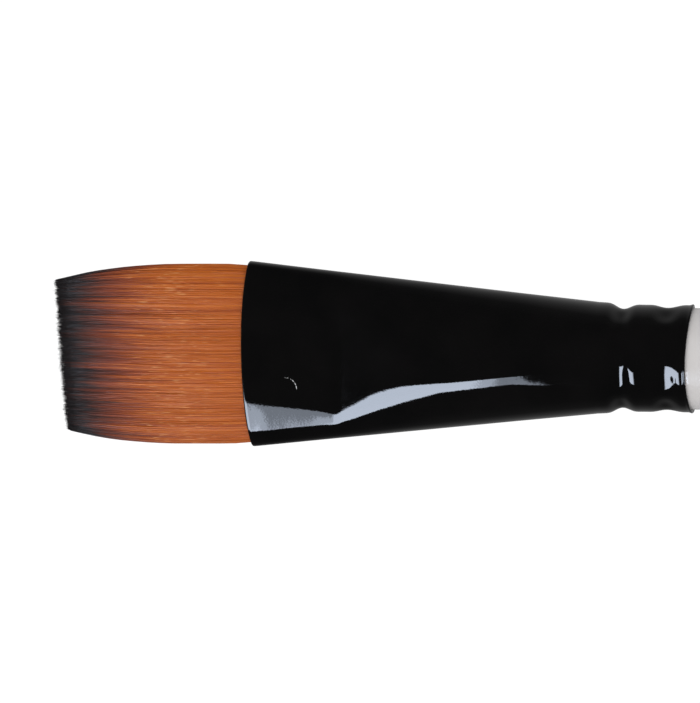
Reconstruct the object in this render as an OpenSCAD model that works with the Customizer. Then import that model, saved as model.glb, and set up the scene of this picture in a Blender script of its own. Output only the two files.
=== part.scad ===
// Flat wash paint brush, 3/4 inch: synthetic tuft, pressed black ferrule, lacquered wooden handle.
// The brush lies along X, with its tuft towards -X and the tail of its handle towards +X.
// Lengths along the brush are measured from the corners of the ferrule's mouth: u is positive
// towards the handle and negative out along the tuft.

/* [Tuft] */
// Length of the tuft beyond the corners of the ferrule's mouth
tuft_out = 20.4; // [16:0.1:24]
// Width of the tuft over most of its length
tuft_w = 19.3; // [18:0.1:20]
// Thickness of the tuft where it swells, just beyond the mouth
tuft_t = 4.5; // [4:0.1:5]
// Width of the tuft across its chisel edge
tip_w = 16; // [12:0.1:18]
// Thickness of the chisel edge
tip_t = 0.8; // [0.4:0.1:1.6]
// Length of the tuft held inside the ferrule
root_depth = 12; // [10:0.5:14]
// Distance from the mouth to the line about which the tuft bends
bend_at = 4.5; // [4:0.5:8]
// Largest bend of the tuft to either side, in degrees
bend_max = 45; // [20:1:50]

/* [Ferrule] */
// Width across the pressed mouth
mouth_w = 19.9; // [19.5:0.1:22]
// Thickness across the pressed mouth
mouth_t = 4.8; // [4.6:0.1:5.2]
// How far the middle of the mouth stands ahead of its corners
mouth_bow = 0.7; // [0:0.1:1]
// Length that the press flattens to an even thickness
pressed_len = 9.2; // [8.5:0.1:10]
// Distance from the mouth to where the ferrule is fully round
taper_len = 36.6; // [36:0.1:37]
// Diameter at the end of the taper
body_d = 11.7; // [11.4:0.1:12]
// Diameter of the barrel that carries the crimps
barrel_d = 11.2; // [11.1:0.1:11.4]
// Overall length of the ferrule, from the mouth's corners to the lip
ferrule_len = 46.6; // [46.2:0.1:48]
// Wall thickness of the ferrule's tube
wall = 0.35; // [0.3:0.05:0.4]
// Depth of the crimp nearer the tuft
crimp_1_depth = 0.55; // [0.3:0.05:0.6]
// Depth of the crimp nearer the handle
crimp_2_depth = 0.32; // [0.2:0.02:0.4]
// How far the lip flares out around the handle
lip_flare = 0.12; // [0.1:0.01:0.2]

/* [Adhesives] */
// Length of the resin plug that sets the roots of the tuft
resin_len = 9; // [7:0.5:11]
// Thickness of resin between the roots and the ferrule
resin_skin = 0.5; // [0.4:0.1:0.7]
// Thickness of the glue between the tenon and the ferrule
glue_t = 0.1; // [0.08:0.02:0.16]

/* [Handle] */
// Length of handle that shows, from the lip to the end of the tail
handle_len = 141; // [120:1:170]
// Diameter of the handle where it leaves the lip
neck_d = 10.6; // [10:0.1:10.6]
// Diameter of the belly, the thickest part of the handle
belly_d = 12.4; // [11.6:0.1:13]
// Distance from the lip to the start of the belly
belly_at = 32; // [20:1:40]
// Length over which the belly is straight
belly_len = 12; // [8:1:20]
// Diameter of the tail before its rounded end
tail_d = 5.8; // [5:0.1:7]
// Length of the tail's rounded end
tail_round = 4; // [3:0.5:6]
// Thickness of the pearl lacquer
lacquer_t = 0.2; // [0.15:0.05:0.3]
// Length of the wooden tenon inside the ferrule
tenon_len = 14; // [13:0.5:15]
// Radius of the tenon at its inner end
tenon_end_r = 4; // [3.6:0.1:4.1]

/* [Hidden] */
$fn = 96;

// Points around each lofted section
ring_n = 48;
// A circle of radius r drawn with ring_n corners clears a round part of radius r * inscribed
inscribed = cos(180 / ring_n);
// Air left between the faces of neighbouring lofted pieces
slip = 0.03;
// Radial gap of the running joint at the bend line, and the radius of its round nose
knuckle_gap = 0.08;
knuckle_r = 1.2;
// Extra angle between the flanks of the bend's relief, beyond the largest bend
relief_extra = 2;
// How far a cutting shape runs past what it cuts
over = 1;

// How fast the ferrule swells behind the pressed part: 1 is a straight ramp
swell_power = 2.5;

// Places along the brush
resin_from = root_depth - 4;
resin_to = resin_from + resin_len;
tenon_from = ferrule_len - tenon_len;
tenon_full = taper_len + 1;
crimp_1_at = taper_len + 2.55;
crimp_2_at = ferrule_len - 2.6;
crimp_1_half = 1.8;
crimp_2_half = 1.9;
flare_half = 0.7;
lacquer_from = ferrule_len - 0.4;
tail_at = ferrule_len + handle_len;

// Places behind the lip, for the handle's outline
taper_from = belly_at + belly_len;
taper_span = handle_len - tail_round - taper_from;

// The row frame's origin is under the middle of the brush, on the surface that its belly touches
mid_u = (tail_at - tuft_out) / 2;
axis_z = belly_d / 2;

// ---- Ferrule section: half width, half thickness and rounding at a station u ----

// A dip of the given depth, as smooth as a cosine, that spans centre +- half
function dip(u, centre, half, depth) =
    abs(u - centre) >= half ? 0 : depth * (1 + cos(180 * (u - centre) / half)) / 2;

// Radius of the round part: the barrel, its two crimps and the flared lip
function round_r(u) =
    lookup(u, [[taper_len, body_d / 2], [taper_len + 4.4, barrel_d / 2]])
    - dip(u, crimp_1_at, crimp_1_half, crimp_1_depth)
    - dip(u, crimp_2_at, crimp_2_half, crimp_2_depth)
    + dip(u, ferrule_len, flare_half, lip_flare);

// Half width: a straight taper from the mouth to the round part
function half_w(u) =
    u >= taper_len ? round_r(u) : lookup(u, [[0, mouth_w / 2], [taper_len, body_d / 2]]);

// Half thickness: even where it was pressed, then it swells, fast at first, to the round part
function half_t(u) =
    let (flattened = (taper_len - max(u, pressed_len)) / (taper_len - pressed_len))
    u >= taper_len ? round_r(u)
    : body_d / 2 - (body_d - mouth_t) / 2 * pow(flattened, swell_power);

// Share of the half width that is flat, top and bottom. It's widest where the press ended, and
// falls away fast behind that crease.
function flat_share(u) = lookup(u, [
    [0, 0.30], [2.5, 0.43], [pressed_len, 0.72], [pressed_len + 1.7, 0.52],
    [pressed_len + 4, 0.36], [pressed_len + 7, 0.27], [pressed_len + 12, 0.24],
    [pressed_len + 19, 0.14], [taper_len, 0]
]);

// How slowly the side falls away from the flat: 2 as in an ellipse, and nearer 1 for a ridge
function ridge_power(u) = lookup(u, [
    [0, 2.2], [pressed_len + 4, 2.1], [pressed_len + 11, 1.45], [pressed_len + 19, 1.4],
    [taper_len, 2]
]);

// How full the side is: 2 as in an ellipse, and more for a tighter outer edge
function fold_power(u) = lookup(u, [[0, 2.6], [pressed_len, 2.1], [pressed_len + 6, 2]]);

// The mouth's edge bows forwards between its corners, and the bow fades out over a short length
bow_fade = 2.5;
function bow(u, y, half) =
    abs(u) > bow_fade ? 0 : mouth_bow * (1 - abs(u) / bow_fade) * (1 - pow(y / half, 2));

// One closed ring of points at station u: flat in the middle, top and bottom, with rounded sides
function ring(u, half_w, half_t, flat, ridge, fold, bowed = false) = [
    for (i = [0 : ring_n - 1])
        let (
            c = cos(360 * i / ring_n),
            s = sin(360 * i / ring_n),
            y = half_w * c,
            past_flat = min(1, max(0, (abs(c) - flat) / (1 - flat))),
            crown = pow(1 - pow(past_flat, ridge), 1 / fold)
        )
        [u - (bowed ? bow(u, y, half_w) : 0), y, half_t * sign(s) * crown]
];

// A ring that lies inside the ferrule's outer surface by the given amount
function inset_ring(u, inset) = ring(
    u, half_w(u) - inset, half_t(u) - inset,
    flat_share(u), ridge_power(u), fold_power(u), bowed = true
);

// ---- Lofted solids ----

// Joins rings in order. Both ends are capped, or the last ring joins the first where loop is true.
module loft(rings, loop = false) {
    count = len(rings);
    last = loop ? count - 1 : count - 2;
    sides = [
        for (i = [0 : last], j = [0 : ring_n - 1])
            let (k = (j + 1) % ring_n, next = (i + 1) % count)
            [i * ring_n + j, next * ring_n + j, next * ring_n + k, i * ring_n + k]
    ];
    caps = loop ? [] : [
        [for (j = [0 : ring_n - 1]) j],
        [for (j = [ring_n - 1 : -1 : 0]) (count - 1) * ring_n + j]
    ];
    polyhedron(points = [for (r = rings) each r], faces = concat(sides, caps), convexity = 6);
}

// Stations of the ferrule. They are close together where its outline bends, and the pieces inside
// it use the same ones, so that their facets lie along the facets of its bore.
bare_stations = [0, 1.3, 2.5, 5.2, resin_from];
held_stations = [resin_from, pressed_len, pressed_len + 0.9, pressed_len + 1.7, root_depth];
plug_stations = [13.4, 15, resin_to];
open_stations = [20, 22.5, 25.2, 29, 33, taper_len];
crimp_stations = [
    each [for (k = [-0.9, -0.6, -0.3, 0, 0.3, 0.6, 0.9]) crimp_1_at + k * crimp_1_half],
    each [for (k = [-0.95, -0.5, 0, 0.45, 0.85]) crimp_2_at + k * crimp_2_half],
    ferrule_len - 0.6, ferrule_len
];
ferrule_stations = concat(
    bare_stations, [for (i = [1 : len(held_stations) - 1]) held_stations[i]],
    plug_stations, open_stations, crimp_stations
);

// Half width and half thickness of the free tuft. It swells beyond the mouth, then thins
// towards a chisel edge, and its sides turn in over the last third.
function tuft_half_w(u) = lookup(-u / tuft_out, [
    [0, tuft_w / 2 - 0.15], [0.1, tuft_w / 2], [0.45, tuft_w / 2 - 0.05],
    [0.68, (tuft_w * 0.8 + tip_w * 0.2) / 2], [0.82, (tuft_w * 0.54 + tip_w * 0.46) / 2],
    [1, tip_w / 2]
]);
function tuft_half_t(u) = lookup(-u / tuft_out, [
    [0, mouth_t / 2 - wall - slip], [0.16, tuft_t / 2], [0.34, tuft_t / 2 - 0.02],
    [0.6, (tuft_t * 0.72 + tip_t * 0.28) / 2], [0.82, (tuft_t * 0.34 + tip_t * 0.66) / 2],
    [1, tip_t / 2]
]);
tuft_flat = 0.35;
tuft_ridge = 2.2;
tuft_fold = 2.4;
function tuft_ring(u) =
    ring(u, tuft_half_w(u), tuft_half_t(u), tuft_flat, tuft_ridge, tuft_fold);

// ---- The bend line: a round nose on the root turns in a round recess in the head ----

// Everything within spread degrees of a direction along X, seen from the bend line, over half
// the brush's width. side is 1 for the part towards the ferrule and -1 for the part beyond.
module fan(side, spread, reach = 2 * tuft_out) {
    translate([-bend_at, tuft_w, 0])
        rotate([90, 0, 0])
            linear_extrude(2 * tuft_w)
                polygon([
                    [0, 0],
                    [side * reach * cos(spread), reach * sin(spread)],
                    [side * reach, reach * sin(spread)],
                    [side * reach, -reach * sin(spread)],
                    [side * reach * cos(spread), -reach * sin(spread)]
                ]);
}

module bend_line(radius, length) {
    translate([-bend_at, length / 2, 0])
        rotate([90, 0, 0])
            cylinder(r = radius, h = length);
}

// Each flank of the relief leans away from upright by half of the largest bend and a little more
flank = 90 - (bend_max + relief_extra) / 2;

module brush_frame() {
    translate([-mid_u, 0, axis_z]) children();
}

// ---- Sub-parts ----

// The free end of the tuft, which bends and springs back
module tuft_head() {
    color([0.66, 0.34, 0.16])
        brush_frame()
            difference() {
                intersection() {
                    loft([
                        for (share = [1, 0.91, 0.82, 0.68, 0.6, 0.45, 0.34, 0.16])
                            tuft_ring(-share * tuft_out)
                    ]);
                    fan(-1, flank);
                }
                bend_line(knuckle_r + knuckle_gap, tuft_w + 2 * over);
            }
}

// The held end of the tuft: from its cut ends in the resin to the bend line beyond the mouth
module tuft_root() {
    color([0.64, 0.32, 0.13])
        brush_frame()
            union() {
                intersection() {
                    loft(concat(
                        [tuft_ring(-0.34 * tuft_out), tuft_ring(-0.16 * tuft_out)],
                        [for (u = bare_stations) inset_ring(u, wall + slip)],
                        [for (u = held_stations) inset_ring(u, wall + resin_skin)]
                    ));
                    fan(1, flank);
                }
                bend_line(knuckle_r, tuft_w - 3);
            }
}

// Resin poured in from behind: a plug around and over the cut ends of the tuft
module root_resin() {
    color([0.55, 0.38, 0.12])
        brush_frame()
            loft(concat(
                [for (i = [len(held_stations) - 1 : -1 : 0])
                    inset_ring(held_stations[i], wall + resin_skin)],
                [for (u = concat(held_stations, plug_stations)) inset_ring(u, wall + slip)]
            ));
}

// Seamless tapered tube, pressed flat at the mouth and crimped twice around the handle
module ferrule() {
    color([0.05, 0.05, 0.055])
        brush_frame()
            loft(concat(
                [for (u = ferrule_stations) inset_ring(u, 0)],
                [for (i = [len(ferrule_stations) - 1 : -1 : 0])
                    inset_ring(ferrule_stations[i], wall)]
            ), loop = true);
}

// Radius of the glue's outer face, just inside the ferrule's faceted bore
function glue_r(u) = (round_r(u) - wall) * inscribed - slip / 2;

// Radius of the wooden tenon, pinched by both crimps, with a bullet-shaped inner end
function tenon_r(u) =
    u >= tenon_full ? glue_r(max(u, taper_len)) - glue_t
    : tenon_end_r + (tenon_r(tenon_full) - tenon_end_r)
        * sqrt(1 - pow((tenon_full - u) / (tenon_full - tenon_from), 2));

// Stations of the tenon's pinched length
pinched = [for (i = [0 : 24]) taper_len + (lacquer_from - taper_len) * i / 24];

// Turns an outline of [radius, u] points about the brush's axis
module turned(outline) {
    brush_frame()
        rotate([0, 90, 0])
            rotate_extrude()
                polygon(outline);
}

// Film of glue that fills the fit between the tenon and the ferrule
module tenon_glue() {
    color([0.86, 0.82, 0.68])
        turned(concat(
            [for (u = pinched) [glue_r(u), u]],
            [for (i = [len(pinched) - 1 : -1 : 0]) [tenon_r(pinched[i]), pinched[i]]]
        ));
}

// Radius of the handle's lacquered surface at s behind the lip: it swells to the belly, runs
// straight, thins to the tail and ends round
function handle_r(s) =
    let (neck = neck_d / 2, belly = belly_d / 2, tail = tail_d / 2,
         t = (s - taper_from) / taper_span,
         thinned = 0.6 * (1 - cos(180 * t)) / 2 + 0.4 * t * t)
    s <= 0 ? neck
    : s < belly_at ? neck + (belly - neck) * (1 - cos(180 * s / belly_at)) / 2
    : s <= taper_from ? belly
    : s <= handle_len - tail_round ? belly - (belly - tail) * thinned
    : tail * sqrt(max(0, 1 - pow((s - handle_len + tail_round) / tail_round, 2)));

// Places behind the lip where the outline is drawn. The belly is one straight stretch.
swell_s = [for (i = [0 : 12]) belly_at * i / 12];
taper_s = [for (i = [0 : 30]) taper_from + taper_span * i / 30];
round_s = [for (i = [1 : 8]) handle_len - tail_round + tail_round * sin(90 * i / 9)];
surface_s = concat(swell_s, taper_s, round_s);
lacquer_outline = concat(
    [[neck_d / 2, lacquer_from]],
    [for (s = surface_s) [handle_r(s), ferrule_len + s]],
    [[0, tail_at]]
);

// The wood lies under the lacquer by its thickness
function wood_point(p) = [max(0, p[0] - lacquer_t), p[1]];
wood_outline = concat(
    [for (s = concat(swell_s, taper_s)) wood_point([handle_r(s), ferrule_len + s])],
    [for (i = [1 : 8]) [
        (tail_d / 2 - lacquer_t) * cos(90 * i / 9),
        tail_at - tail_round + (tail_round - lacquer_t) * sin(90 * i / 9)
    ]],
    [[0, tail_at - lacquer_t]]
);

// Turned hardwood: the tenon, and the body of the handle under its lacquer
module handle_core() {
    color([0.80, 0.64, 0.42])
        turned(concat(
            [[0, tenon_from]],
            [for (i = [0 : 8]) let (u = tenon_from + (tenon_full - tenon_from) * (1 - cos(90 * i / 8)))
                [tenon_r(u), u]],
            [for (u = pinched) [tenon_r(u), u]],
            [[neck_d / 2 - lacquer_t, lacquer_from]],
            wood_outline
        ));
}

// Pearl lacquer over all of the handle that shows, and just under the lip
module handle_lacquer() {
    color([0.80, 0.78, 0.78])
        turned(concat(
            lacquer_outline,
            [for (i = [len(wood_outline) - 1 : -1 : 0]) wood_outline[i]],
            [[neck_d / 2 - lacquer_t, lacquer_from]]
        ));
}

tuft_head();
tuft_root();
root_resin();
ferrule();
tenon_glue();
handle_core();
handle_lacquer();
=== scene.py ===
"""Flat wash paint brush, 3/4 inch: synthetic tuft, pressed black ferrule, pearl-lacquered handle.

The frame's +X runs from the tuft to the tail of the handle, +Y across the tuft, +Z up.
Helper functions work in millimetres. u is measured along the brush from the corners of the
ferrule's mouth, positive towards the handle, and y and z are measured from the brush's axis.
"""
import math

import bpy
import numpy as np
from mathutils import Matrix, Vector


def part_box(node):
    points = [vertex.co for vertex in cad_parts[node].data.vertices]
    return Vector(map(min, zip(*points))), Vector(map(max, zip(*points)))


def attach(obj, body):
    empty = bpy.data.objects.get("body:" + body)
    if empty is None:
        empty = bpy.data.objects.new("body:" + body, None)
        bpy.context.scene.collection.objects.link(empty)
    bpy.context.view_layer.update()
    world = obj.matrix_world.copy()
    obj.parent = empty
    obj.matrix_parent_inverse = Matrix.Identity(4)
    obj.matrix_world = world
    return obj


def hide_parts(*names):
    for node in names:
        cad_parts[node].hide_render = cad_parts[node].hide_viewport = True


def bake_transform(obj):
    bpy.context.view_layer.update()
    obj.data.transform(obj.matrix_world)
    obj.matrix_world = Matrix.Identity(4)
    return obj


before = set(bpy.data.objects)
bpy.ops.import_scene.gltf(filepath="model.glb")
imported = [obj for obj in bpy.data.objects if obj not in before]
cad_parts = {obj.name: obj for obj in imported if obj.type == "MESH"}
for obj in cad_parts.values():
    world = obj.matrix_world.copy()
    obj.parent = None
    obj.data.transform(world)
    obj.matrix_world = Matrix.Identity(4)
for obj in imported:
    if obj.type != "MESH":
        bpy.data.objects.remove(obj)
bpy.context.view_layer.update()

MM = 0.001

# ---------------------------------------------------------------- sizes, in mm, as in the CAD model

MOUTH_BOW = 0.7
MOUTH_W = 19.9
MOUTH_T = 4.8
PRESSED_LEN = 9.2
TAPER_LEN = 36.6
BODY_D = 11.7
BARREL_D = 11.2
FERRULE_LEN = 46.6
WALL = 0.35
NECK_D = 10.6
BELLY_D = 12.4
BELLY_AT = 32.0
BELLY_LEN = 12.0
TAIL_D = 5.8
TAIL_ROUND = 4.0
LACQUER_T = 0.2
TUFT_OUT = 20.4

ferrule_low, ferrule_high = (np.array(corner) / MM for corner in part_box("ferrule"))
handle_low, handle_high = (np.array(corner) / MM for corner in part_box("handle_lacquer"))
MOUTH_X = ferrule_low[0] + MOUTH_BOW
AXIS_Z = (handle_low[2] + handle_high[2]) / 2
HANDLE_LEN = handle_high[0] - MOUTH_X - FERRULE_LEN


def place(points):
    """Points given as (u, y, z) in mm, as metres in the row frame."""
    return (np.asarray(points, float) + [MOUTH_X, 0, AXIS_Z]) * MM


# ---------------------------------------------------------------- camera

CAMERA_DISTANCE = 600.0
CAMERA_LENS = 293.1
# The camera leans towards the handle and towards +Y, from straight above
LEAN_TO_HANDLE = math.radians(8.6)
LEAN_TO_FAR_SIDE = math.radians(12.26)
CAMERA_ROLL = math.radians(-1.217)
LOOK_AT = (10.3, 0.37, 0.0)


def make_camera():
    away = Vector((
        math.sin(LEAN_TO_HANDLE),
        math.cos(LEAN_TO_HANDLE) * math.sin(LEAN_TO_FAR_SIDE),
        math.cos(LEAN_TO_HANDLE) * math.cos(LEAN_TO_FAR_SIDE),
    ))
    right = Vector((0, 1, 0)).cross(away).normalized()
    up = away.cross(right)
    turned_right = right * math.cos(CAMERA_ROLL) + up * math.sin(CAMERA_ROLL)
    turned_up = away.cross(turned_right)
    target = Vector(place(LOOK_AT))
    data = bpy.data.cameras.new("camera")
    data.sensor_fit = "HORIZONTAL"
    data.lens = CAMERA_LENS
    data.clip_start = 0.01
    data.clip_end = 20
    camera = bpy.data.objects.new("camera", data)
    matrix = Matrix((turned_right, turned_up, away)).transposed().to_4x4()
    matrix.translation = target + away * CAMERA_DISTANCE * MM
    camera.matrix_world = matrix
    bpy.context.scene.collection.objects.link(camera)
    bpy.context.scene.camera = camera


make_camera()


# ---------------------------------------------------------------- materials

# A mesh attribute that is 1 on the cut edge of the ferrule's mouth
EDGE_NAME = "cut_edge"
# Middle and radius of the curved scuff on the pressed part
SCUFF_U, SCUFF_Y, SCUFF_RADIUS = 3.7, -3.2, 1.2


class Nodes:
    """A short way to write a node material."""

    def __init__(self, name):
        self.material = bpy.data.materials.new(name)
        self.material.use_nodes = True
        self.tree = self.material.node_tree
        self.shader = self.tree.nodes["Principled BSDF"]

    def link(self, source, target):
        self.tree.links.new(source, target)

    def new(self, kind, **values):
        node = self.tree.nodes.new(kind)
        for key, value in values.items():
            setattr(node, key, value)
        return node

    def put(self, socket, value):
        if isinstance(value, bpy.types.NodeSocket):
            self.link(value, socket)
        else:
            socket.default_value = value

    def math(self, operation, a, b=0.0, c=0.0):
        node = self.new("ShaderNodeMath", operation=operation)
        for socket, value in zip(node.inputs, (a, b, c)):
            self.put(socket, value)
        return node.outputs[0]

    def noise(self, vector, scale, detail=2.0, roughness=0.5, distortion=0.0):
        node = self.new("ShaderNodeTexNoise")
        self.put(node.inputs["Vector"], vector)
        node.inputs["Scale"].default_value = scale
        node.inputs["Detail"].default_value = detail
        node.inputs["Roughness"].default_value = roughness
        node.inputs["Distortion"].default_value = distortion
        return node.outputs["Fac"]

    def cell_colour(self, vector, scale):
        node = self.new("ShaderNodeTexVoronoi")
        self.put(node.inputs["Vector"], vector)
        node.inputs["Scale"].default_value = scale
        return node.outputs["Color"]

    def stretch(self, vector, scale):
        node = self.new("ShaderNodeMapping")
        self.put(node.inputs["Vector"], vector)
        node.inputs["Scale"].default_value = scale
        return node.outputs["Vector"]

    def range(self, value, low, high, to_low=0.0, to_high=1.0):
        node = self.new("ShaderNodeMapRange")
        for index, item in enumerate((value, low, high, to_low, to_high)):
            self.put(node.inputs[index], item)
        return node.outputs[0]

    def ramp(self, value, stops):
        node = self.new("ShaderNodeValToRGB")
        elements = node.color_ramp.elements
        while len(elements) < len(stops):
            elements.new(0.5)
        for element, (position, colour) in zip(elements, stops):
            element.position = position
            element.color = (*colour, 1)
        self.put(node.inputs["Fac"], value)
        return node.outputs["Color"]

    def mix(self, factor, a, b, blend="MIX"):
        node = self.new("ShaderNodeMix", data_type="RGBA", blend_type=blend)
        self.put(node.inputs[0], factor)
        for socket, value in ((node.inputs[6], a), (node.inputs[7], b)):
            self.put(socket, value if isinstance(value, bpy.types.NodeSocket) else (*value, 1))
        return node.outputs[2]

    def bump(self, height, strength, distance):
        node = self.new("ShaderNodeBump")
        node.inputs["Strength"].default_value = strength
        node.inputs["Distance"].default_value = distance
        self.put(node.inputs["Height"], height)
        self.link(node.outputs["Normal"], self.shader.inputs["Normal"])

    def set(self, **values):
        for key, value in values.items():
            self.put(self.shader.inputs[key.replace("_", " ")], value)

    @property
    def position(self):
        return self.new("ShaderNodeTexCoord").outputs["Object"]


def black_gloss():
    """Gloss black finish of the ferrule, worn through to pale metal along the mouth's cut edge."""
    n = Nodes("black_gloss")
    where = n.position
    peel = n.noise(where, 450, detail=2)
    grain = n.noise(where, 5000, detail=2)
    height = n.math("MULTIPLY_ADD", grain, 0.24, peel)
    n.bump(height, 0.10, 0.00008)
    patches = n.noise(where, 180, detail=3)
    patchy = n.range(patches, 0.3, 0.7)
    gloss = n.mix(patchy, (0.0014, 0.0014, 0.0015), (0.0025, 0.0023, 0.0024))
    # A short curved scuff on the pressed part
    split = n.new("ShaderNodeSeparateXYZ")
    n.link(where, split.inputs[0])
    across = n.math("SUBTRACT", split.outputs["X"], (MOUTH_X + SCUFF_U) * MM)
    sideways = n.math("SUBTRACT", split.outputs["Y"], SCUFF_Y * MM)
    up = split.outputs["Z"]
    squares = [n.math("MULTIPLY", offset, offset) for offset in (across, sideways)]
    spread = n.math("POWER", n.math("ADD", *squares), 0.5)
    off_arc = n.math("ABSOLUTE", n.math("SUBTRACT", spread, SCUFF_RADIUS * MM))
    scuff = n.range(off_arc, 0.02 * MM, 0.06 * MM, 1, 0)
    # Only a quarter of the circle, broken up, and only on the upper side
    for part in (
        n.range(across, -0.1 * MM, 0.1 * MM),
        n.range(sideways, -0.1 * MM, 0.1 * MM),
        n.range(n.noise(where, 4000), 0.42, 0.58),
        n.range(up, AXIS_Z * MM, (AXIS_Z + 1) * MM),
    ):
        scuff = n.math("MULTIPLY", scuff, part)
    # Bare metal shows in places on the cut edge
    edge = n.new("ShaderNodeAttribute", attribute_name=EDGE_NAME).outputs["Fac"]
    bare = n.math("MULTIPLY", edge, n.range(n.noise(where, 1500, detail=3), 0.35, 0.6, 0.35, 1.0))
    colour = n.mix(scuff, gloss, (0.45, 0.45, 0.46))
    n.set(Base_Color=n.mix(bare, colour, (0.09, 0.08, 0.035)))
    roughness = n.range(patches, 0.4, 0.8, 0.035, 0.05)
    worn = n.math("MULTIPLY", n.math("MAXIMUM", scuff, bare), 0.35)
    n.set(Roughness=n.math("ADD", roughness, worn))
    n.set(IOR=1.5)
    return n.material


def pearl():
    """Pearl-grey lacquer: fine bright flakes under a smooth clear coat."""
    n = Nodes("pearl")
    where = n.position
    cloud = n.noise(n.stretch(where, (120, 260, 260)), 1, detail=3)
    flake = n.cell_colour(where, 9000)
    tone = n.math("MULTIPLY_ADD", n.noise(flake, 3), 0.25, n.math("MULTIPLY", cloud, 0.75))
    shades = [
        (0.25, (0.49, 0.475, 0.47)),
        (0.5, (0.515, 0.50, 0.496)),
        (0.8, (0.55, 0.538, 0.535)),
    ]
    colour = n.ramp(tone, shades)
    n.set(Base_Color=colour, Roughness=n.range(cloud, 0.3, 0.7, 0.28, 0.36), IOR=1.5)
    n.set(Coat_Weight=0.6, Coat_Roughness=0.06)
    n.bump(n.noise(where, 700, detail=2), 0.05, 0.0001)
    return n.material


def hardwood():
    """Pale turned hardwood with its grain along the handle."""
    n = Nodes("hardwood")
    where = n.stretch(n.position, (60, 700, 700))
    grain = n.noise(where, 1, detail=5, roughness=0.6, distortion=0.4)
    shades = [(0.3, (0.42, 0.25, 0.11)), (0.5, (0.60, 0.40, 0.21)), (0.7, (0.70, 0.50, 0.29))]
    n.set(Base_Color=n.ramp(grain, shades))
    n.set(Roughness=n.range(grain, 0.3, 0.7, 0.75, 0.55))
    n.bump(grain, 0.3, 0.0001)
    return n.material


def amber_resin():
    """Set epoxy, with a few cloudy patches."""
    n = Nodes("amber_resin")
    cloud = n.noise(n.position, 400, detail=3)
    n.set(Base_Color=n.ramp(cloud, [(0.35, (0.36, 0.19, 0.05)), (0.7, (0.48, 0.29, 0.10))]))
    n.set(Roughness=n.range(cloud, 0.3, 0.7, 0.15, 0.35))
    n.bump(cloud, 0.1, 0.0002)
    return n.material


def cream_glue():
    """Dried wood glue."""
    n = Nodes("cream_glue")
    cloud = n.noise(n.position, 900, detail=4)
    n.set(Base_Color=n.ramp(cloud, [(0.35, (0.66, 0.58, 0.40)), (0.7, (0.80, 0.74, 0.58))]))
    n.set(Roughness=n.range(cloud, 0.3, 0.7, 0.4, 0.6))
    n.bump(cloud, 0.3, 0.0001)
    return n.material


# Each filament takes one column of the tuft's UV square. A column holds one of TINTS shades and
# one of DARK_STEPS lengths of dark tip, and V runs from the filament's root to its tip.
TINTS = 8
DARK_STEPS = 8
COLUMNS = TINTS * DARK_STEPS
UV_NAME = "OFBake"


def filament():
    """Synthetic filament: orange brown with a dark tip, the shade varies along each one, and
    painted highlights glint near the middle.
    """
    n = Nodes("filament")
    uv = n.new("ShaderNodeUVMap", uv_map=UV_NAME).outputs["UV"]
    split = n.new("ShaderNodeSeparateXYZ")
    n.link(uv, split.inputs[0])
    along = split.outputs["Y"]
    column = n.math("FLOOR", n.math("MULTIPLY", split.outputs["X"], COLUMNS))
    tint = n.math("DIVIDE", n.math("MODULO", column, TINTS), TINTS - 1)
    dark_step = n.math("DIVIDE", n.math("FLOOR", n.math("DIVIDE", column, TINTS)), DARK_STEPS - 1)
    # Distance along the filament from where its dark tip starts, as a share of its length
    dark_from = n.range(dark_step, 0, 1, 0.90, 0.66)
    past = n.math("SUBTRACT", along, dark_from)
    line = n.new("ShaderNodeCombineXYZ")
    n.link(n.math("MULTIPLY", column, 17.3), line.inputs["X"])
    n.link(n.math("MULTIPLY", along, 7.0), line.inputs["Y"])
    streak = n.noise(line.outputs[0], 1.0, detail=3)
    body = n.ramp(
        n.math("MULTIPLY_ADD", streak, 0.60, n.math("MULTIPLY", tint, 0.40)),
        [
            (0.18, (0.22, 0.038, 0.005)),
            (0.38, (0.37, 0.076, 0.007)),
            (0.62, (0.47, 0.114, 0.010)),
            (0.84, (0.58, 0.175, 0.024)),
        ],
    )
    # Painted highlights: short pale glints in the middle of the length, where the filaments catch
    # the light
    fine = n.new("ShaderNodeCombineXYZ")
    n.link(n.math("MULTIPLY", column, 9.1), fine.inputs["X"])
    n.link(n.math("MULTIPLY", along, 13.0), fine.inputs["Y"])
    painted_glint = n.range(n.noise(fine.outputs[0], 1.0, detail=1), 0.58, 0.80)
    middle = n.math("MULTIPLY", n.range(along, 0.22, 0.38), n.range(along, 0.70, 0.55))
    body = n.mix(n.math("MULTIPLY", painted_glint, middle), body, (0.72, 0.33, 0.12))
    # It goes through reddish brown to black
    darkness = n.range(past, -0.26, 0.11)
    shade = n.ramp(darkness, [(0.0, (1, 1, 1)), (0.5, (0.50, 0.34, 0.30)), (1.0, (0, 0, 0))])
    black = n.mix(darkness, (0, 0, 0), (0.021, 0.018, 0.019))
    n.set(Base_Color=n.mix(1.0, n.mix(1.0, body, shade, blend="MULTIPLY"), black, blend="ADD"))
    n.set(Roughness=n.range(streak, 0.3, 0.7, 0.36, 0.50), IOR=1.5)
    n.set(Specular_IOR_Level=0.25)
    return n.material


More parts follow.
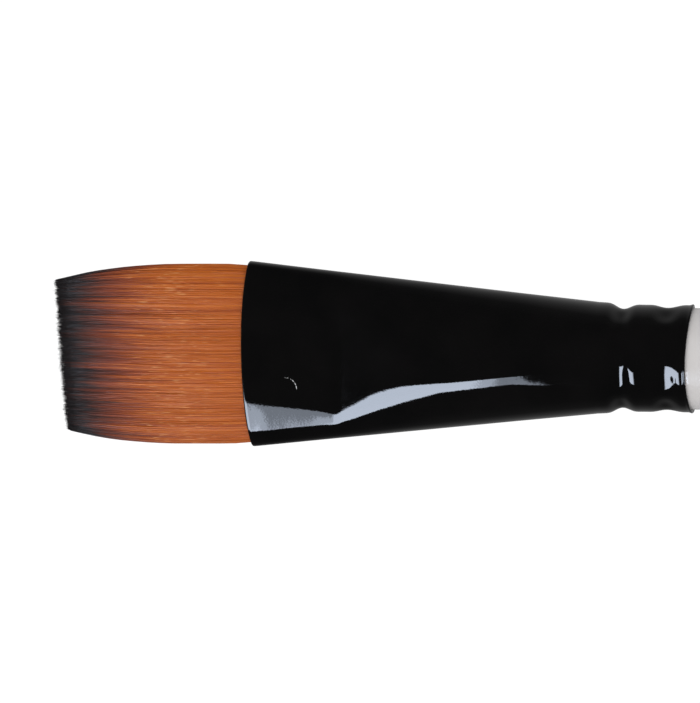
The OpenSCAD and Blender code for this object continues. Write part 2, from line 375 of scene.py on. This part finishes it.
def tuft_inside():
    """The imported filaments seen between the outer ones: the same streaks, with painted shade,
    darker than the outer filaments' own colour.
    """
    n = Nodes("tuft_inside")
    where = n.position
    streak = n.noise(n.stretch(where, (120, 6000, 6000)), 1, detail=3)
    # Painted shade: these colours are darker than the filaments' own, for the shade deep between
    # them
    body = n.ramp(streak, [(0.3, (0.22, 0.050, 0.011)), (0.7, (0.42, 0.115, 0.022))])
    split = n.new("ShaderNodeSeparateXYZ")
    n.link(where, split.inputs[0])
    clumps = n.noise(n.stretch(where, (0, 700, 700)), 1, detail=2)
    edge = n.math("MULTIPLY_ADD", clumps, 4 * MM, split.outputs["X"])
    tip = (MOUTH_X - TUFT_OUT) * MM
    dark = n.range(edge, tip + 5 * MM, tip + 9 * MM)
    n.set(Base_Color=n.mix(dark, (0.015, 0.012, 0.013), body))
    n.set(Roughness=n.range(streak, 0.3, 0.7, 0.5, 0.65))
    n.bump(streak, 0.6, 0.00005)
    return n.material


# ---------------------------------------------------------------- mesh helpers

def new_mesh(name, points, faces, material):
    mesh = bpy.data.meshes.new(name)
    mesh.from_pydata(place(points).tolist(), [], faces)
    mesh.polygons.foreach_set("use_smooth", [True] * len(mesh.polygons))
    mesh.materials.append(material)
    mesh.validate()
    mesh.update()
    piece = bpy.data.objects.new(name, mesh)
    bpy.context.scene.collection.objects.link(piece)
    return piece


def ring_faces(rings, around, loop=False):
    """Quads that join rings of points, in order. With loop, the last ring joins the first."""
    faces = []
    for i in range(rings if loop else rings - 1):
        here, there = i * around, (i + 1) % rings * around
        faces += [
            (here + j, here + (j + 1) % around, there + (j + 1) % around, there + j)
            for j in range(around)
        ]
    return faces


def through(points):
    """The function that runs straight from each (x, value) point to the next."""
    xs, values = zip(*points)
    return lambda x: np.interp(x, xs, values)


def eased(x, curve, half=0.7, steps=9):
    """curve at x, with its corners rounded over half to either side."""
    offsets = np.linspace(-1, 1, steps)
    weights = 1 - 0.9 * offsets ** 2
    total = sum(w * curve(x + half * o) for w, o in zip(weights, offsets))
    return total / weights.sum()


# ---------------------------------------------------------------- ferrule

SWELL_POWER = 2.7
# Share of the half width that is flat, top and bottom
FLAT_SHARE = through([
    (0, 0.33), (1.3, 0.41), (4.2, 0.48), (7, 0.555), (PRESSED_LEN, 0.64),
    (PRESSED_LEN + 1.7, 0.54), (PRESSED_LEN + 4, 0.36), (PRESSED_LEN + 7, 0.27),
    (PRESSED_LEN + 12, 0.24),
    (PRESSED_LEN + 19, 0.14), (TAPER_LEN, 0),
])
# How slowly the side falls away from the flat: 2 as in an ellipse, and nearer 1 for a ridge
RIDGE_POWER = through([
    (0, 2.2), (PRESSED_LEN + 4, 2.1), (PRESSED_LEN + 11, 1.45), (PRESSED_LEN + 19, 1.4),
    (TAPER_LEN, 2),
])
# How full the side is: 2 as in an ellipse, and more for a tighter outer edge
FOLD_POWER = through([(0, 2.6), (PRESSED_LEN, 2.1), (PRESSED_LEN + 6, 2)])
BOW_FADE = 2.5
LIP_BOW = 0.45
LIP_FADE = 1.5
BARREL_RADIUS = through([(TAPER_LEN, BODY_D / 2), (TAPER_LEN + 4.4, BARREL_D / 2)])
TAPER_HALF_W = through([(0, MOUTH_W / 2), (TAPER_LEN, BODY_D / 2), (FERRULE_LEN, BODY_D / 2)])


def swelling_half_t(u):
    """Half thickness before the round part: even where it was pressed, then it swells."""
    flattened = (TAPER_LEN - np.clip(u, PRESSED_LEN, TAPER_LEN)) / (TAPER_LEN - PRESSED_LEN)
    return BODY_D / 2 - (BODY_D - MOUTH_T) / 2 * flattened ** SWELL_POWER


def dip(u, centre, half, depth, sharpness=1.0):
    away = np.clip(np.abs(u - centre) / half, 0, 1)
    return depth * ((1 + np.cos(np.pi * away)) / 2) ** sharpness


JAWS = 9
JAW_AT = math.radians(101)
CRIMP_HALF = 1.9
# Each crimp: its middle, depth, sharpness, and how much deeper it is at a jaw
CRIMPS = [(TAPER_LEN + 2.6, 0.55, 1.5, 0.12), (FERRULE_LEN - 2.7, 0.32, 1.2, 0.32)]
FLARE = 0.12
FLARE_HALF = 0.5


def round_radius(u, angle):
    """Radius of the round part. The crimping jaws left a row of shallow dents in each crimp."""
    radius = eased(u, BARREL_RADIUS, half=0.5)
    dents = np.cos(JAWS * (angle - JAW_AT))
    for middle, depth, sharpness, dented in CRIMPS:
        radius = radius - dip(u, middle, CRIMP_HALF, depth, sharpness) * (1 + dented * dents)
    return radius + dip(u, FERRULE_LEN, FLARE_HALF, FLARE)


def ferrule_points(u, angle, inset):
    """Points of the ferrule at stations u and angles around, inset from its outer surface."""
    radius = round_radius(u, angle)
    half_w = np.where(u >= TAPER_LEN, radius, eased(u, TAPER_HALF_W, half=0.3)) - inset
    half_t = np.where(u >= TAPER_LEN, radius, eased(u, swelling_half_t)) - inset
    flat = eased(u, FLAT_SHARE, half=0.8)
    c, s = np.cos(angle), np.sin(angle)
    past_flat = np.clip((np.abs(c) - flat) / (1 - flat), 0, 1)
    ridge, fold = eased(u, RIDGE_POWER, half=0.8), eased(u, FOLD_POWER, half=0.8)
    crown = (1 - past_flat ** ridge) ** (1 / fold)
    # The mouth bows forwards, and the lip is cut back a little in the middle, top and bottom
    bow = MOUTH_BOW * np.clip(1 - u / BOW_FADE, 0, 1)
    bow = bow + LIP_BOW * np.clip((u - FERRULE_LEN) / LIP_FADE + 1, 0, 1)
    points = (u - bow * s ** 2, half_w * c, half_t * np.sign(s) * crown)
    return np.stack(np.broadcast_arrays(*points), -1)


def make_ferrule():
    around = 192
    rim = WALL / 2
    # The rolled edge stands this far beyond the corners
    edge = 0.28
    turn = np.linspace(0, np.pi, 7)
    lip = [(FERRULE_LEN - rim + rim * math.sin(t), rim * (1 - math.cos(t))) for t in turn]
    mouth = [(rim - edge - rim * math.sin(t), rim * (1 + math.cos(t))) for t in turn]
    outer = np.concatenate([
        np.linspace(rim - edge, 3, 16)[1:], np.linspace(3, PRESSED_LEN - 1, 18)[1:],
        np.linspace(PRESSED_LEN - 1, PRESSED_LEN + 1.5, 26)[1:],
        np.linspace(PRESSED_LEN + 1.5, TAPER_LEN, 90)[1:],
        np.linspace(TAPER_LEN, FERRULE_LEN - rim, 110)[1:-1],
    ])
    inner = np.linspace(FERRULE_LEN - rim, rim - edge, 60)[1:-1]
    profile = [(u, 0) for u in outer] + lip + [(u, WALL) for u in inner] + mouth
    angle = np.linspace(0, 2 * np.pi, around, endpoint=False)
    rings = [ferrule_points(np.full(around, u), angle, inset) for u, inset in profile]
    points = np.concatenate(rings)
    faces = ring_faces(len(rings), around, loop=True)
    piece = new_mesh("ferrule_shell", points, faces, black_gloss())
    bare = [0.0, 0.0, 0.3, 1.0, 1.0, 1.0, 1.0]
    cut_edge = np.repeat([0.0] * (len(profile) - len(mouth)) + bare[::-1], around)
    piece.data.attributes.new(EDGE_NAME, "FLOAT", "POINT").data.foreach_set("value", cut_edge)
    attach(piece, "brush")
    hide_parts("ferrule")


# ---------------------------------------------------------------- handle

def handle_radius(s):
    """Radius of the lacquered surface at s behind the lip."""
    neck, belly, tail = NECK_D / 2, BELLY_D / 2, TAIL_D / 2
    if s <= 0:
        return neck
    if s < BELLY_AT:
        return neck + (belly - neck) * (1 - math.cos(math.pi * s / BELLY_AT)) / 2
    if s <= BELLY_AT + BELLY_LEN:
        return belly
    if s <= HANDLE_LEN - TAIL_ROUND:
        t = (s - BELLY_AT - BELLY_LEN) / (HANDLE_LEN - TAIL_ROUND - BELLY_AT - BELLY_LEN)
        return belly - (belly - tail) * (0.6 * (1 - math.cos(math.pi * t)) / 2 + 0.4 * t * t)
    rounded = (s - HANDLE_LEN + TAIL_ROUND) / TAIL_ROUND
    return tail * math.sqrt(max(0, 1 - rounded ** 2))


def make_handle():
    around = 128
    straight = np.linspace(0, HANDLE_LEN - TAIL_ROUND, 200)
    rounded = HANDLE_LEN - TAIL_ROUND + TAIL_ROUND * np.sin(np.linspace(0, np.pi / 2, 20))[1:]
    under_lip = [(-0.9, NECK_D / 2 - LACQUER_T / 2), (-0.4, NECK_D / 2)]
    outer = under_lip + [(s, handle_radius(s)) for s in [*straight, *rounded]]
    outer[-1] = (HANDLE_LEN, 0.01)
    inner = [(min(s, HANDLE_LEN - LACQUER_T), max(0.01, r - LACQUER_T)) for s, r in outer[::-4]]
    inner[-1] = (-0.9, NECK_D / 2 - LACQUER_T)
    angle = np.linspace(0, 2 * np.pi, around, endpoint=False)
    points = np.concatenate([
        np.stack([np.full(around, FERRULE_LEN + s), r * np.cos(angle), r * np.sin(angle)], -1)
        for s, r in outer + inner
    ])
    faces = ring_faces(len(outer) + len(inner), around, loop=True)
    piece = new_mesh("handle_finish", points, faces, pearl())
    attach(piece, "brush")
    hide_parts("handle_lacquer")


# ---------------------------------------------------------------- tuft

# Shape of the free tuft by distance out from the mouth, as half width and half thickness
TUFT_HALF_W = through([
    (-12, 8.0), (0, 9.45), (2, 9.64), (7, 9.66), (9.2, 9.66), (12, 9.50), (14, 9.34), (17, 8.96),
    (TUFT_OUT, 8.2), (TUFT_OUT + 3, 7.5),
])
TUFT_FULL_W = 9.66
TUFT_HALF_T = through([
    (-12, 2.0), (0, 2.0), (3.5, 2.25), (7, 2.2), (12.2, 1.72), (16.7, 1.02), (TUFT_OUT, 0.36),
])
TUFT_SQUARE = 3.2
# The free end leans a little to -Y, and is cut slightly longer on its +Y side
TUFT_LEAN = 0.26
TIP_SLANT = 0.42
NOTCHES = (5.1, 3.8, 0.9, 0.0, -3.0)


def tuft_section(share, out):
    """(y, z) of the tuft's surface at distances out, at a share of the way round its section."""
    angle = 2 * np.pi * share
    c, s = np.cos(angle), np.sin(angle)
    half_w = eased(out, TUFT_HALF_W, half=1.5)
    half_t = eased(out, TUFT_HALF_T, half=1.5)
    # The middle runs straight, and only the sides turn in
    y = half_w * c + (TUFT_FULL_W - half_w) * (c - c ** 5) * (out > 0)
    z = half_t * np.sign(s) * np.sqrt(np.maximum(0, 1 - np.abs(c) ** TUFT_SQUARE))
    lean = -TUFT_LEAN * np.clip(out / TUFT_OUT, 0, 1)
    return y + lean, z


def strand_piece(name, seed, count, depth_mm, radius_mm, material):
    """Thousands of tapered filaments near the tuft's surface, each a thin three-sided tube."""
    rng = np.random.default_rng(seed)
    sides, rings = 3, 15
    # Even spacing along the section: its arc length by angle, turned round
    fine = np.linspace(0, 1, 2001)
    y, z = tuft_section(fine, np.full(fine.shape, 5.0))
    arc = np.concatenate([[0], np.cumsum(np.hypot(np.diff(y), np.diff(z)))])
    share = np.interp(rng.random(count) * arc[-1], arc, fine)
    depth = depth_mm * rng.random(count) ** 1.3
    lateral = np.cos(2 * np.pi * share)
    # The free end bows out a little and is uneven: small tufts and a few notches
    across = lateral * TUFT_FULL_W
    uneven = 0.09 * np.sin(across * 11.3 + 0.7)
    uneven = uneven + 0.09 * np.sin(across * 23.0) * np.sin(across * 3.1 + 1)
    notches = sum(np.exp(-((across - y_notch) / 0.07) ** 2) for y_notch in NOTCHES)
    out_len = (
        TUFT_OUT + 0.15 + TIP_SLANT * lateral + 0.22 * (1 - lateral ** 2) + uneven - 0.35 * notches
        + rng.normal(0, 0.12, count) - 0.45 * rng.random(count) ** 4 - 0.12 * (depth_mm - depth)
    )
    t = np.linspace(0, 1, rings) ** 0.85
    start = -2.0
    out = start + (out_len[:, None] - start) * t[None]
    rho = 1 - depth[:, None] / 2.25
    lateral_rho = 1 - depth[:, None] / 9.6
    y, z = tuft_section(share[:, None], out)
    y, z = y * lateral_rho, z * rho
    # Each one wanders a little from its neighbours, more so towards the tip
    loose = np.clip((out - 0.3) / TUFT_OUT, 0, 1)
    phase = rng.random((4, count, 1)) * 2 * np.pi
    cycles = 0.5 + 1.2 * rng.random((count, 1))
    drift = rng.normal(0, 0.16, (count, 1)) * loose * (1 - lateral[:, None] ** 4)
    y = y + drift + 0.05 * loose * np.sin(2 * np.pi * cycles * t[None] + phase[0])
    wave = 0.05 * loose * np.sin(2 * np.pi * cycles * t[None] + phase[1])
    z = z + np.sign(z) * np.minimum(0, wave) + rng.normal(0, 0.03, (count, 1)) * loose
    radius = radius_mm * (0.85 + 0.3 * rng.random((count, 1))) * (1 - 0.85 * t[None] ** 5)
    spin = phase[2] + 2 * np.pi * np.arange(sides)[None] / sides
    ring_y = y[:, :, None] + radius[:, :, None] * np.cos(spin)[:, None, :]
    ring_z = z[:, :, None] + radius[:, :, None] * np.sin(spin)[:, None, :]
    ring_u = np.broadcast_to(-out[:, :, None], ring_y.shape)
    points = np.stack([ring_u, ring_y, ring_z], -1).reshape(-1, 3)

    base = (np.arange(count) * rings * sides)[:, None, None]
    ring = (np.arange(rings - 1) * sides)[None, :, None]
    k = np.arange(sides)[None, None, :]
    nxt = (k + 1) % sides
    first = base + ring
    quads = np.stack([first + k, first + sides + k, first + sides + nxt, first + nxt], -1)
    quads = quads.reshape(-1, 4)
    ends = np.concatenate([
        np.stack([base[:, 0, 0] + j for j in (0, 1, 2)], -1),
        np.stack([base[:, 0, 0] + (rings - 1) * sides + j for j in (2, 1, 0)], -1),
    ])
    piece = new_mesh(name, points, quads.tolist() + ends.tolist(), material)

    # Clumps of neighbouring filaments share a length of dark tip
    clump = sum(
        np.sin(across * f + p) * w
        for f, p, w in ((1.9, 0.4, 0.30), (3.7, 2.0, 0.25), (7.3, 1.1, 0.20), (13.1, 4.4, 0.15))
    )
    edge = 0.25 * np.clip((np.abs(lateral) - 0.75) / 0.25, 0, 1)
    dark = np.clip(0.38 + 0.24 * clump + edge + rng.normal(0, 0.12, count), 0, 0.999)
    drawn = 0.52 + 0.20 * np.sin(across * 9.7 + 1.0) * np.sin(across * 4.1)
    tint = np.clip(drawn + rng.normal(0, 0.22, count), 0, 0.999)
    column = np.floor(dark * DARK_STEPS) * TINTS + np.floor(tint * TINTS)
    layer = piece.data.uv_layers.new(name=UV_NAME)
    loops = np.empty(len(piece.data.loops), np.int32)
    piece.data.loops.foreach_get("vertex_index", loops)
    strand = loops // (rings * sides)
    place_in_ring = loops % sides
    u_coord = (column[strand] + 0.3 + 0.2 * place_in_ring) / COLUMNS
    # The shades of each filament are shifted along it by its own amount
    step = t[(loops // sides) % rings]
    v_coord = step + rng.uniform(-0.12, 0.12, count)[strand] * np.sin(np.pi * step)
    layer.data.foreach_set("uv", np.stack([u_coord, v_coord], -1).ravel().astype(np.float32))
    return piece


def make_core(material):
    """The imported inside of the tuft, from its cut ends in the resin to just short of the tips."""
    around = 96
    out = np.linspace(-11.9, TUFT_OUT - 2.6, 60)
    share = np.linspace(0, 1, around, endpoint=False)
    rings = []
    for o in out:
        y, z = tuft_section(share, np.full(around, o))
        thin = 0.86 if o > -1 else 0.9
        rings.append(np.stack([np.full(around, -o), y * 0.985, z * thin], -1))
    points = np.concatenate(rings)
    count = len(rings)
    faces = [face[::-1] for face in ring_faces(count, around)]
    faces += [tuple(range(around)), tuple(range((count - 1) * around, count * around))[::-1]]
    return new_mesh("tuft_inside", points, faces, material)


def make_tuft():
    material = filament()
    layers = [
        ("bristles_outer_a", 11, 1500, 0.18, 0.060),
        ("bristles_outer_b", 12, 1500, 0.30, 0.062),
        ("bristles_middle", 13, 1500, 0.50, 0.066),
        ("bristles_inner", 14, 1500, 0.75, 0.070),
    ]
    tuft = [strand_piece(*layer, material) for layer in layers]
    tuft.append(make_core(tuft_inside()))
    for piece in tuft:
        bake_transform(piece)
    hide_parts("tuft_head")
    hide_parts("tuft_root")


# ---------------------------------------------------------------- lights, floor and background

def softbox(name, height, x_range, y_range, radiance, colour):
    """A level panel that faces down, placed in metres from the middle of the ferrule's mouth."""
    (x_low, x_high), (y_low, y_high) = x_range, y_range
    data = bpy.data.lights.new(name, "AREA")
    data.shape = "RECTANGLE"
    data.size, data.size_y = x_high - x_low, y_high - y_low
    data.energy = radiance * math.pi * data.size * data.size_y
    data.color = colour
    light = bpy.data.objects.new(name, data)
    centre = np.array([(x_low + x_high) / 2, (y_low + y_high) / 2, height])
    light.location = place((0, 0, 0)) + centre
    bpy.context.scene.collection.objects.link(light)
    return light


# Even light from all round
FILL = 0.82
# The cool panel that the gloss mirrors: its near edges, and how far they are softened
KEY_START = -0.85
KEY_X_EDGE = -0.167
KEY_Y_EDGE = -0.285
KEY_SOFT = 0.015
KEY_RADIANCE = 4.8


def make_lights():
    """A broad overhead light, and a cool panel with soft edges that only the gloss mirrors."""
    for name, edge in (("key_inner", -KEY_SOFT), ("key_middle", 0.0), ("key_outer", KEY_SOFT)):
        # Panels add up only where they are at different heights
        height = 0.8 - edge / 2
        x_range, y_range = (KEY_START, KEY_X_EDGE + 3 * edge), (KEY_START, KEY_Y_EDGE + edge)
        key = softbox(name, height, x_range, y_range, KEY_RADIANCE, (0.75, 0.84, 1.0))
        key.visible_diffuse = False
    overhead = softbox("overhead", 1.2, (-1.0, 1.0), (-1.0, 1.0), 1.0, (1.0, 0.99, 0.98))
    overhead.visible_glossy = False


def make_floor():
    n = Nodes("pale_floor")
    cloud = n.noise(n.position, 3, detail=2)
    n.set(Base_Color=n.ramp(cloud, [(0.3, (0.05, 0.05, 0.05)), (0.7, (0.06, 0.06, 0.06))]))
    n.set(Roughness=0.8, Emission_Color=(1, 1, 1, 1), Emission_Strength=1.0)
    n.set(Specular_IOR_Level=0.1)
    half = 3.0
    mesh = bpy.data.meshes.new("floor")
    corners = [(-half, -half, 0), (half, -half, 0), (half, half, 0), (-half, half, 0)]
    mesh.from_pydata(corners, [], [(0, 1, 2, 3)])
    mesh.materials.append(n.material)
    floor = bpy.data.objects.new("floor", mesh)
    bpy.context.scene.collection.objects.link(floor)
    # The gloss mirrors the background instead
    floor.visible_glossy = False


def make_background():
    """White where the camera sees it, soft light all round, and nearly dark in the gloss."""
    world = bpy.data.worlds.new("studio")
    world.use_nodes = True
    tree = world.node_tree
    light_path = tree.nodes.new("ShaderNodeLightPath")
    direction = tree.nodes.new("ShaderNodeTexCoord").outputs["Generated"]
    split = tree.nodes.new("ShaderNodeSeparateXYZ")
    tree.links.new(direction, split.inputs[0])
    height = tree.nodes.new("ShaderNodeMapRange")
    height.inputs[1].default_value, height.inputs[2].default_value = -1, 1
    tree.links.new(split.outputs["Z"], height.inputs[0])
    gloss = tree.nodes.new("ShaderNodeValToRGB")
    elements = gloss.color_ramp.elements
    elements.new(0.35)
    for element, (at, grey) in zip(elements, ((0.0, 0.34), (0.35, 0.06), (0.55, 0.035))):
        element.position = at
        element.color = (grey, grey, grey, 1)
    tree.links.new(height.outputs[0], gloss.inputs["Fac"])
    colour = (FILL, FILL, FILL, 1)
    for ray, seen in (("Is Glossy Ray", gloss.outputs["Color"]), ("Is Camera Ray", (1, 1, 1, 1))):
        mix = tree.nodes.new("ShaderNodeMix")
        mix.data_type = "RGBA"
        for socket, value in ((mix.inputs[6], colour), (mix.inputs[7], seen)):
            if isinstance(value, tuple):
                socket.default_value = value
            else:
                tree.links.new(value, socket)
        tree.links.new(light_path.outputs[ray], mix.inputs[0])
        colour = mix.outputs[2]
    tree.links.new(colour, tree.nodes["Background"].inputs["Color"])
    scene = bpy.context.scene
    scene.world = world
    scene.view_settings.view_transform = "Standard"
    scene.view_settings.look = "None"


# ---------------------------------------------------------------- the scene

make_floor()
make_background()
make_lights()
make_ferrule()
make_handle()
make_tuft()

carried_over = {"root_resin": amber_resin(), "tenon_glue": cream_glue(), "handle_core": hardwood()}
for node, material in carried_over.items():
    for material_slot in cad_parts[node].material_slots:
        material_slot.material = material

bpy.context.view_layer.update()
